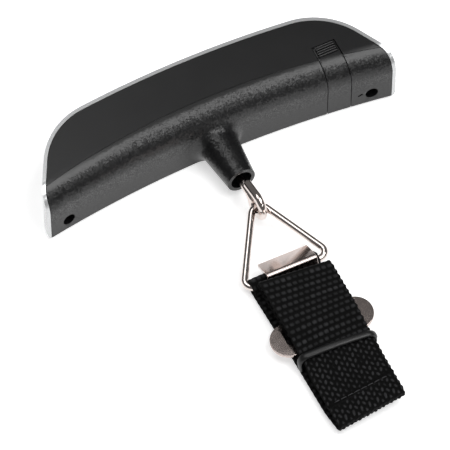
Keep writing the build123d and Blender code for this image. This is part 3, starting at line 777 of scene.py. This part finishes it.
@dataclass
class Keys:
    """Two rubber keys, each with a printed symbol: an on-off ring, and a weight for the unit."""

    nodes: dict[str, Any]
    edge_round: float = 0.3 * MM
    ink: float = 0.04 * MM
    line: float = 0.36 * MM
    ring: float = 1.9 * MM
    ring_opening: float = 70.0
    bar_marks: tuple = (0.25, 0.7, 1.15)
    weight_low: tuple = (1.9, -1.5)
    weight_high: tuple = (1.15, 0.9)
    weight_eye: float = 0.75
    weight_eye_up: float = 1.65

    def stroke(self, name: str, path: Sequence[Vector], closed: bool, body: str) -> None:
        """Prints one line of a symbol.

        Args:
            name: the piece's name.
            path: the line's middle, on the key's face.
            closed: whether it is a loop.
            body: the key's body.
        """
        left, right = [], []
        count = len(path)
        for i, point in enumerate(path):
            ahead = path[(i + 1) % count] if closed or i < count - 1 else point
            back = path[i - 1] if closed or i > 0 else point
            heading = (ahead - back).normalized()
            side = Vector((-heading.y, heading.x, 0)) * self.line / 2
            left.append(point + side)
            right.append(point - side)
        drop = Vector((0, 0, -self.ink))
        rings = [[a, b, b + drop, a + drop] for a, b in zip(left, right)]
        verts, faces = sweep_rings(rings, closed, not closed)
        piece = dress(new_object(name, verts, faces, smooth=False), Dress.SYMBOL)
        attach(piece, body)

    def build(self) -> None:
        """Dresses both keys and prints their symbols."""
        for node in ("power_button", "unit_button"):
            soften_edges(dress(self.nodes[node], Dress.BUTTON), self.edge_round, 3)
        middle = face_middle("power_button")
        start, sweep = 90 + self.ring_opening / 2, 360 - self.ring_opening
        turns = [math.radians(start + sweep * k / 40) for k in range(41)]
        arc = [middle + Vector((math.cos(t), math.sin(t), 0)) * self.ring for t in turns]
        self.stroke("power_symbol_ring", arc, False, "power_key")
        bar = [middle + Vector((0, self.ring * share, 0)) for share in self.bar_marks]
        self.stroke("power_symbol_bar", bar, False, "power_key")
        middle = face_middle("unit_button")
        (foot, base), (shoulder, top) = self.weight_low, self.weight_high
        weight = [(-foot, base), (foot, base), (shoulder, top), (-shoulder, top)]
        self.stroke("unit_symbol_weight", [middle + Vector((x, y, 0)) * MM for x, y in weight], True, "unit_key")
        turns = [math.radians(360 * k / 20) for k in range(20)]
        rim = [(self.weight_eye * math.cos(t), self.weight_eye_up + self.weight_eye * math.sin(t)) for t in turns]
        self.stroke("unit_symbol_eye", [middle + Vector((x, y, 0)) * MM for x, y in rim], True, "unit_key")
        log.info("keys: two, with symbols")


@dataclass
class Readout:
    """The display's glass, frame and connector, and its digits."""

    nodes: dict[str, Any]
    digit_height: float = 8.0 * MM
    digit_width: float = 4.2 * MM
    gap: float = 2.2 * MM
    bar: float = 0.85 * MM
    bar_gap: float = 0.12 * MM
    thick: float = 0.05 * MM
    frame_round: float = 0.1 * MM

    def segment(self, name: str, middle: Vector, length: float, upright: bool) -> None:
        """Lays one six-sided segment on the glass.

        Args:
            name: the piece's name.
            middle: the segment's middle.
            length: its length.
            upright: whether it stands along the digit's height.
        """
        half, wide = length / 2 - self.bar_gap, self.bar / 2
        inner = half - wide
        flat = [(-half, 0), (-inner, wide), (inner, wide), (half, 0), (inner, -wide), (-inner, -wide)]
        turned = [(y, x) if upright else (x, y) for x, y in flat]
        rings = [[middle + Vector((x, y, -z)) for x, y in turned] for z in (0.0, self.thick)]
        verts, faces = sweep_rings(rings, False, True)
        piece = dress(new_object(name, verts, faces, smooth=False), Dress.SEGMENT)
        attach(piece, "housing")

    def build(self) -> None:
        """Dresses the display and shows three zeros."""
        dress(self.nodes["display_glass"], Dress.DISPLAY)
        soften_edges(dress(self.nodes["display_frame"], Dress.NYLON), self.frame_round)
        dress(self.nodes["display_connector"], Dress.STRIPED_RUBBER)
        centre = face_middle("display_glass")
        half = self.digit_height / 2
        for place, shift in enumerate((-1, 0, 1)):
            # the display is read from beneath, so its left is towards +X
            at = centre + Vector((-shift * (self.digit_width + self.gap), 0, 0))
            for k, end in enumerate((-half, half)):
                self.segment(f"digit_{place}_level_{k}", at + Vector((0, end, 0)), self.digit_width, False)
            for k, (side, end) in enumerate(((-1, -1), (-1, 1), (1, -1), (1, 1))):
                spot = at + Vector((side * self.digit_width / 2, end * half / 2, 0))
                self.segment(f"digit_{place}_upright_{k}", spot, half, True)
        log.info("display: glass, frame, connector and three digits")


@dataclass
class Works:
    """What is inside the handle: the board, the load beam, contacts, screws and the cell."""

    nodes: dict[str, Any]
    edge_round: float = 0.08 * MM

    def build(self) -> None:
        """Dresses every inner piece."""
        plan = {
            "main_board": Dress.BOARD,
            "chip_cover": Dress.EPOXY,
            "board_chips": Dress.EPOXY,
            "key_domes": Dress.SPRING,
            "negative_contact": Dress.SPRING,
            "positive_contact": Dress.SPRING,
            "board_screws": Dress.SCREW,
            "beam_screws": Dress.SCREW,
            "case_screws": Dress.SCREW,
            "load_beam": Dress.BEAM,
            "strain_gauges": Dress.GAUGE,
            "coin_cell": Dress.CELL,
            "eye_washer": Dress.NICKEL,
            "eye_nut": Dress.NICKEL,
        }
        for node, finish in plan.items():
            soften_edges(dress(self.nodes[node], finish), self.edge_round)
        log.info("works: %d pieces", len(plan))


@dataclass
class EyeAndRing:
    """The swivelling eye bent from wire, and the skewed triangular ring that hangs in it."""

    record: dict
    space: StrapSpace
    wire_radius: float = 1.5 * MM
    eye_bend: float = -30.954 * MM
    neck_radius: float = 3.0 * MM
    loop_radius: float = 4.2 * MM
    # the neck bends until the loop's middle is back in line with the shank
    neck_turn: float = math.acos(3.0 / (3.0 + 4.2))
    tail_turn: float = math.radians(9.0)
    tail: float = 6.4 * MM
    ring_wire: float = 1.25 * MM
    half_apex: float = math.radians(28.3)
    apex_radius: float = 3.2 * MM
    corner_radius: float = 2.6 * MM
    step: float = 0.35 * MM

    def joint(self, name: str) -> dict:
        """One joint of the record."""
        return next(j for j in self.record["behaviour"]["joints"] if j["name"] == name)

    def arc(self, start: Vector, heading: float, radius: float, turn: float) -> tuple[list[Vector], float]:
        """Bends the wire in its upright plane.

        Args:
            start: where the bend starts.
            heading: the wire's direction there, as an angle from +Y towards +Z.
            radius: the bend's radius.
            turn: how far it bends; negative bends the other way.

        Returns:
            The bend's points after its start, and the new heading.
        """
        sign = 1 if turn > 0 else -1
        out = heading + sign * math.pi / 2
        centre = start + Vector((0, math.cos(out), math.sin(out))) * radius
        count = max(6, int(abs(turn) * radius / self.step))
        spots = []
        for k in range(1, count + 1):
            at = out + math.pi + turn * k / count
            spots.append(centre + Vector((0, math.cos(at), math.sin(at))) * radius)
        return spots, heading + turn

    def build_eye(self) -> Any:
        """Bends the eye.

        Returns:
            The eye.
        """
        pivot = Vector(self.joint("eye_swivel")["pos_m"])
        shank_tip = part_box("hook_eye")[1][1]
        path = [Vector((0, shank_tip, pivot.z)), Vector((0, self.eye_bend, pivot.z))]
        bend, heading = self.arc(path[-1], math.pi, self.neck_radius, self.neck_turn)
        path += bend
        bend, heading = self.arc(path[-1], heading, self.loop_radius, -self.neck_turn - math.pi - self.tail_turn)
        path += bend
        path.append(path[-1] + Vector((0, math.cos(heading), math.sin(heading))) * self.tail)
        piece = wire("eye_wire", resample(path, self.step, False), self.wire_radius, False)
        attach(dress(piece, Dress.NICKEL), "eye")
        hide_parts("hook_eye")
        return piece

    def build_ring(self) -> Any:
        """Bends the ring.

        Returns:
            The ring.
        """
        apex = Vector(self.joint("ring_swing")["pos_m"])
        reach = apex - self.space.bar
        skew = reach.dot(self.space.across)
        rise = reach - self.space.across * skew
        sharp = rise.length + self.apex_radius / math.sin(self.half_apex) - self.apex_radius
        half_base = sharp * math.tan(self.half_apex)
        uphill = rise.normalized()
        corners = [(-half_base, 0.0), (half_base, 0.0), (skew, sharp)]
        points = [self.space.bar + self.space.across * s + uphill * h for s, h in corners]
        radii = [self.corner_radius, self.corner_radius, self.apex_radius]
        path = resample(rounded_corners(points, radii, self.step, True), self.step, True)
        piece = wire("ring_wire", path, self.ring_wire, True)
        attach(dress(piece, Dress.NICKEL), "ring")
        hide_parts("triangle_ring")
        return piece

    def build(self) -> None:
        """Bends both."""
        for piece in (self.build_eye(), self.build_ring()):
            log.info("%s: %d points", piece.name, len(piece.data.vertices))


@dataclass(frozen=True)
class Cut:
    """One cut across the webbing, in millimetres: where it is and how the ply lies there."""

    run: float
    down: float
    height: float
    normal: Vector
    upper: float
    top: float
    loose: float
    shift: float
    stretch: float
    skew: float
    wave: float
    bulge: float
    thin: float


@dataclass
class Strap:
    """Nylon webbing looped over the ring's bar and folded back on itself, with the hook plate.

    Sizes are in millimetres, but for the ones that carry MM.
    """

    space: StrapSpace
    nodes: dict[str, Any]
    width: float = 25.0
    core: float = 0.34
    relief: float = 0.5
    rib: float = 2.3
    float_pitch: float = 2.0
    basket_pitch: float = 1.5
    step: float = 0.36
    columns: int = 68
    corner_step: float = 0.3
    bar_height: float = 2.95
    bar_wrap: float = 2.35
    band_at: float = 36.3
    band_grip: float = 1.5
    crown_rise: float = 0.9
    crown_reach: float = 11.0
    loose_from: float = 58.0
    upper_height: float = 4.8
    selvedge: float = 0.955
    stitch_at: float = 53.6
    stitch_lean: float = 0.05
    stitch_reach: float = 0.6
    stitch_sink: float = 0.28
    thread: float = 0.17
    riser_face: float = 4.35
    riser_half: float = 9.4
    riser_top: float = 9.3
    plate_round: float = 0.22 * MM

    def route(self) -> list[Vector]:
        """The webbing's middle line, seen from the side, in millimetres.

        Returns:
            Evenly spaced points whose x is along the strap and y is the height.
        """
        # the sewn end under the bar, then round the bar
        legs: list[tuple[float, float, float]] = [(14.0, 2.8, 0), (3.3, 2.2, 1.0)]
        for turn in range(35, 271, 8):
            a = math.radians(turn)
            legs.append((self.bar_wrap * math.cos(a), self.bar_height + self.bar_wrap * math.sin(a), 0))
        # the lower ply lies on the table as far as the low fold
        legs += [(3.0, 0.6, 15), (24.0, 2.2, 15)]
        legs += self.fold(59.8, 3.8, 1.6, -90)
        # the upper ply climbs over the hook plate, and folds under its tongue
        legs += [(55.8, 5.4, 25), (34.1, 6.7, 12), (25.6, 9.3, 10)]
        legs += self.fold(6.9, 8.2, 2.1, 90)
        legs += [(22.3, 6.1, 3), (26.6, 3.55, 3), (45.0, 3.55, 0)]
        points = [Vector((v, z, 0)) for v, z, _ in legs]
        radii = [radius for _, _, radius in legs]
        return resample(rounded_corners(points, radii, self.corner_step, False), self.step, False)

    def fold(self, v: float, z: float, radius: float, start: int) -> list[tuple[float, float, float]]:
        """Half a turn of the webbing.

        Args:
            v: where along the strap the fold's middle is.
            z: its height.
            radius: the fold's radius.
            start: the angle that the turn starts at, in degrees.

        Returns:
            Points with no rounding.
        """
        turns = [math.radians(start + 15 * k) for k in range(13)]
        return [(v + radius * math.cos(a), z + radius * math.sin(a), 0.0) for a in turns]

    def ribbed(self, run: float, side: float) -> float:
        """Height of the ribbed weave from 0 to 1.

        Args:
            run: millimetres along the webbing.
            side: millimetres across it.

        Returns:
            The height.
        """
        row = round(run / self.rib)
        groove = run / self.rib - row
        rib = math.sqrt(max(0.0, 1 - (2 * groove) ** 2))
        place = side / self.float_pitch + 0.5 * (row % 2)
        lane = round(place)
        across = place - lane
        # every float is pulled a little differently
        tall = 0.82 + 0.36 * noise.noise(Vector((row * 1.7, lane * 2.3, 0.5)))
        over = max(0.0, 1 - (abs(across) / 0.47) ** 4)
        return rib * (0.58 + 0.42 * over * tall * (1.0 if row % 2 else 0.85))

    def basket(self, run: float, side: float) -> float:
        """Height of the looser face, whose floats stand in offset columns, from 0 to 1.

        Args:
            run: millimetres along the webbing.
            side: millimetres across it.

        Returns:
            The height.
        """
        lane = round(side / self.basket_pitch)
        across = side / self.basket_pitch - lane
        lean = 0.35 * (1 if lane % 2 else -1)
        place = run / self.rib + 0.5 * (lane % 2) + lean * across
        row = round(place)
        along = place - row
        tall = 0.92 + 0.3 * noise.noise(Vector((row * 2.1, lane * 1.9, 4.5)))
        reach = (across / 0.5) ** 2 + (along / 0.46) ** 2
        return min(1.0, math.sqrt(max(0.0, 1 - min(1.0, reach))) * tall * 1.12)

    def layer(self, run: float, total: float) -> float:
        """Which ply a point is in: 0 on the lower loop, 1 on the upper one, eased at the folds."""
        return smooth_step(0.40 * total, 0.46 * total, run)

    def cut(self, middle: Sequence[Vector], i: int) -> Cut:
        """Works out how the webbing lies at one point of its route.

        Args:
            middle: the route.
            i: the point's number.

        Returns:
            The cut there.
        """
        total = self.step * (len(middle) - 1)
        ahead = (middle[min(i + 1, len(middle) - 1)] - middle[max(i - 1, 0)]).normalized()
        v, z = middle[i].x, middle[i].y
        run = i * self.step
        upper = self.layer(run, total)
        top = upper * (1.0 if z > self.upper_height else 0.0)
        # below the band the upper ply spreads and drifts sideways, and by the fold it leans back
        spread = smooth_step(self.band_at, self.band_at + 12, v)
        return Cut(
            run=run,
            down=v,
            height=z,
            normal=Vector((ahead.y, -ahead.x)),
            upper=upper,
            top=top,
            loose=smooth_step(self.band_at - self.band_grip, self.band_at + self.band_grip, v),
            shift=-1.0 + 1.45 * upper - 0.4 * spread * upper,
            stretch=1 + 0.01 * spread * upper,
            skew=0.13 * upper * (1 - smooth_step(7, 30, v)) - 0.09 * smooth_step(38, 60, v),
            wave=0.15 * math.cos(2 * math.pi * run / self.rib),
            bulge=self.crown_rise * top * math.exp(-(((v - self.band_at) / self.crown_reach) ** 2)),
            thin=self.core * smooth_step(-0.4, 0.8, min(run, total - run)),
        )

    def skin(self, cut: Cut, face: int, t: float) -> tuple[Vector, float]:
        """Finds one point of the webbing's surface.

        Args:
            cut: the cut that the point is in.
            face: 1 for the face side, -1 for the back.
            t: where across the webbing it is, from -1 to 1.

        Returns:
            The point in metres, and how near it is to the top of its float.
        """
        side = self.width / 2 * t
        raw = self.ribbed(cut.run + (0 if face == 1 else self.rib / 2), side)
        if face == 1 and (cut.loose * cut.top > 0 or (cut.down > self.loose_from and cut.upper < 1)):
            raw = raw * (1 - cut.loose) + self.basket(cut.run, side) * cut.loose
        from_seam = cut.down - self.stitch_at + self.stitch_lean * side
        stitched = math.exp(-((from_seam / self.stitch_reach) ** 2)) * cut.top
        # the seam pulls the cloth down, and its lower crown also paints the seam darker as painted shade
        raw *= 1 - 0.75 * stitched
        rim = math.sqrt(max(0.0, 1 - max(0.0, (abs(t) - self.selvedge) / (1 - self.selvedge)) ** 2))
        lift = (cut.thin + self.relief * raw) * rim - self.stitch_sink * stitched
        sag = cut.bulge * (1 - t * t) + 0.10 * noise.noise(Vector((cut.down * 0.11, t * 1.4, cut.upper * 3)))
        # the ribs' turns make one selvedge wavier than the other
        wide = side * cut.stretch + cut.shift + (cut.wave if t > 0 else -0.3 * cut.wave) * abs(t) ** 8
        along = cut.down + cut.normal.x * lift * face + cut.skew * wide
        tall = cut.height + cut.normal.y * lift * face + sag
        # the hook plate's riser holds the upper ply off
        if cut.upper > 0 and abs(wide) < self.riser_half and tall < self.riser_top:
            along = max(along, self.riser_face)
        return self.space.at(wide * MM, along * MM, tall * MM), raw * rim

    def build_webbing(self) -> Any:
        """Weaves the ribbon.

        Returns:
            The webbing.
        """
        middle = self.route()
        shares = [j / self.columns * 2 - 1 for j in range(self.columns + 1)]
        rings, crowns, flats = [], [], []
        for i in range(len(middle)):
            cut = self.cut(middle, i)
            ring = []
            for face, t in [(1, t) for t in shares] + [(-1, -t) for t in shares]:
                spot, crown = self.skin(cut, face, t)
                ring.append(spot)
                crowns.append(crown)
                flats.append((self.width / 2 * t * MM, cut.run * MM))
            rings.append(ring)
        verts, faces = sweep_rings(rings, False, True)
        piece = new_object("woven_strap", verts, faces)
        # each float's height, which the webbing's finish turns into painted highlight on the crowns and painted
        # shade in the hollows
        shade = piece.data.attributes.new("crown", "FLOAT", "POINT")
        shade.data.foreach_set("value", crowns)
        sheet = piece.data.uv_layers.new(name="threads")
        for loop in piece.data.loops:
            sheet.data[loop.index].uv = flats[loop.vertex_index]
        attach(dress(piece, Dress.WEBBING), "strap")
        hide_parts("strap_webbing")
        return piece

    def seam_spot(self, seam: int, side: float) -> tuple[float, float]:
        """Finds where a seam runs: 0 is below the band, 1 and 2 are in the loop's sewn end.

        Args:
            seam: the seam's number.
            side: millimetres across the strap.

        Returns:
            How far along the strap and how high the thread lies there.
        """
        if seam == 0:
            return self.stitch_at - self.stitch_lean * side, self.top_height(self.stitch_at) + 0.44
        return (8.0, 0.28) if seam == 1 else (12.0, 0.58)

    def build_stitches(self) -> Any:
        """Sews the seam near the lower fold, and the loop's end under the bar.

        Returns:
            The thread.
        """
        pitch, gap, margin = 2.5, 0.45, 1.5
        verts: list[Vector] = []
        faces: list[tuple] = []
        for seam, face, shift in ((0, 1.0, 0.9), (1, -1.0, -1.0), (2, -1.0, -1.0)):
            for k in range(int((self.width - 2 * margin) / pitch)):
                start = -self.width / 2 + margin + k * pitch + 0.25
                path = []
                for n in range(9):
                    side = start + (pitch - gap) * n / 8
                    v, z = self.seam_spot(seam, side)
                    # both ends of a stitch dive into the cloth
                    dip = 0.30 * (2 * n / 8 - 1) ** 4
                    path.append(self.space.at((side + shift) * MM, v * MM, (z - face * dip) * MM))
                stitch = wire("stitch", path, self.thread * MM, False, sides=8)
                base = len(verts)
                mesh = stitch.data
                verts += [v.co.copy() for v in mesh.vertices]
                faces += [tuple(base + i for i in p.vertices) for p in mesh.polygons]
                bpy.data.objects.remove(stitch)
                bpy.data.meshes.remove(mesh)
        piece = dress(new_object("strap_stitches", verts, faces), Dress.THREAD)
        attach(piece, "strap")
        log.info("strap_stitches: %d points", len(verts))
        return piece

    def top_height(self, v: float) -> float:
        """Height of the upper ply's middle below the band, in millimetres."""
        return 5.4 + (6.7 - 5.4) * (55.8 - v) / (55.8 - 34.1)

    def build(self) -> None:
        """Makes the webbing, its stitches and the hook plate's finish."""
        self.build_webbing()
        self.build_stitches()
        soften_edges(dress(self.nodes["hook_plate"], Dress.STAMPED), self.plate_round, 3)
        log.info("hook_plate: pressed from one sheet")


@dataclass
class KeeperBand:
    """A moulded rubber band round the folded strap, pulled a little askew."""

    space: StrapSpace
    at: float = 36.3
    half_width: float = 13.25
    low: float = 0.75
    high: float = 8.25
    shift: float = 0.3
    crown: float = 0.85
    crown_from: float = 3.5
    crown_full: float = 8.0
    corner: float = 2.6
    corner_step: float = 0.3
    thick: float = 0.72
    inner_share: float = 0.7
    wide: float = 1.3
    squareness: float = 0.8
    askew: float = 0.085
    step: float = 0.4
    sides: int = 20

    def build(self) -> None:
        """Moulds the band, its outer face rounded."""
        shape = [(-1, 0), (1, 0), (1, 1), (-1, 1)]
        levels = {0: self.low, 1: self.high}
        points = [Vector((side * self.half_width + self.shift, levels[top], 0)) for side, top in shape]
        path = resample(rounded_corners(points, [self.corner] * 4, self.corner_step, True), self.step, True)
        count = len(path)
        rings = []
        for i, spot in enumerate(path):
            heading = (path[(i + 1) % count] - path[i - 1]).normalized()
            outward = Vector((heading.y, -heading.x))
            upper = smooth_step(self.crown_from, self.crown_full, spot.y)
            arch = self.crown * upper * (1 - (spot.x / self.half_width) ** 2)
            ring = []
            for k in range(self.sides):
                a = 2 * math.pi * k / self.sides
                # flatter inside, rounder outside
                out = math.cos(a) * (self.thick if math.cos(a) > 0 else self.thick * self.inner_share)
                along = math.copysign(abs(math.sin(a)) ** self.squareness, math.sin(a)) * self.wide
                side = spot.x + outward.x * out
                height = spot.y + outward.y * out + arch
                # the lower run is pulled half as far askew as the upper one
                down = self.at + along + self.askew * side * (1 - 0.5 * (1 - upper))
                ring.append(self.space.at(side * MM, down * MM, height * MM))
            rings.append(ring)
        verts, faces = sweep_rings(rings, True, False)
        piece = dress(new_object("rubber_band", verts, faces), Dress.BAND)
        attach(piece, "band")
        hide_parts("keeper_band")
        log.info("rubber_band: %d points", len(verts))


@dataclass(frozen=True)
class Softbox:
    """A rectangular softbox: where it hangs, its width and height, and its shine.

    A shine of 1 is the white of the table. Every box points at the middle of the handle.
    """

    name: str
    at: tuple[float, float, float]
    size: tuple[float, float]
    shine: float

    def hang(self) -> None:
        """Hangs the box."""
        lamp = bpy.data.lights.new(self.name, "AREA")
        lamp.shape = "RECTANGLE"
        lamp.size, lamp.size_y = self.size
        lamp.energy = self.shine * math.pi * self.size[0] * self.size[1]
        box = bpy.data.objects.new(self.name, lamp)
        box.location = self.at
        box.rotation_euler = (-Vector(self.at)).to_track_quat("-Z", "Y").to_euler()
        bpy.context.scene.collection.objects.link(box)


@dataclass
class Studio:
    """A pale table, three softboxes, a dim sky and the camera."""

    eye: tuple[float, float, float] = (-0.4151, -0.8113, 1.2181)
    aim: tuple[float, float, float] = (-0.0108, -0.035, 0.0)
    lens: float = 358.3
    sky: float = 0.14
    glow: float = 0.55

    table_half: float = 3.0
    table_drop: float = 0.2 * MM
    sensor: float = 36.0
    boxes: tuple[Softbox, ...] = (
        Softbox("overhead", (0.34, -0.42, 1.15), (0.95, 0.62), 4.6),
        Softbox("front_strip", (0.34, -0.98, 0.72), (0.9, 0.14), 3.0),
        Softbox("back_light", (-0.19, 0.26, 1.1), (0.74, 0.58), 2.5),
    )

    def lay_table(self) -> None:
        """Lays the table: opal acrylic lit from beneath, as a product table is."""
        half, low = self.table_half, -self.table_drop
        corners = [(-half, -half, low), (half, -half, low), (half, half, low), (-half, half, low)]
        table = dress(new_object("table", corners, [(0, 1, 2, 3)]), Dress.FLOOR)
        surface = Dress.FLOOR.material().node_tree.nodes["Principled BSDF"]
        surface.inputs["Emission Color"].default_value = (1, 1, 1, 1)
        surface.inputs["Emission Strength"].default_value = self.glow

    def light_room(self) -> None:
        """Hangs the softboxes and sets the sky."""
        for box in self.boxes:
            box.hang()
        world = bpy.data.worlds.new("room")
        world.use_nodes = True
        backdrop = world.node_tree.nodes["Background"]
        backdrop.inputs["Strength"].default_value = self.sky
        backdrop.inputs["Color"].default_value = (1, 1, 1, 1)
        bpy.context.scene.world = world
        bpy.context.scene.view_settings.view_transform = "Standard"

    def set_camera(self) -> None:
        """Stands the camera over the strap's side, a little to the left."""
        lens = bpy.data.cameras.new("camera")
        lens.sensor_width = self.sensor
        lens.lens = self.lens
        camera = bpy.data.objects.new("camera", lens)
        camera.location = self.eye
        camera.rotation_euler = (Vector(self.aim) - Vector(self.eye)).to_track_quat("-Z", "Y").to_euler()
        bpy.context.scene.collection.objects.link(camera)
        bpy.context.scene.camera = camera

    def build(self) -> None:
        """Sets the table, the lights and the camera."""
        self.lay_table()
        self.light_room()
        self.set_camera()
        log.info("studio: table, %d softboxes and camera", len(self.boxes))


def main() -> None:
    """Builds the scale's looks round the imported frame."""
    logging.basicConfig(level=logging.INFO, format="%(name)s %(message)s")
    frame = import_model()
    space = StrapSpace.from_joints(frame["record"]["behaviour"]["joints"])
    Studio().build()
    Casing(frame["nodes"]).build()
    Keys(frame["nodes"]).build()
    Readout(frame["nodes"]).build()
    Works(frame["nodes"]).build()
    EyeAndRing(frame["record"], space).build()
    Strap(space, frame["nodes"]).build()
    KeeperBand(space).build()


if __name__ == "__main__":
    main()
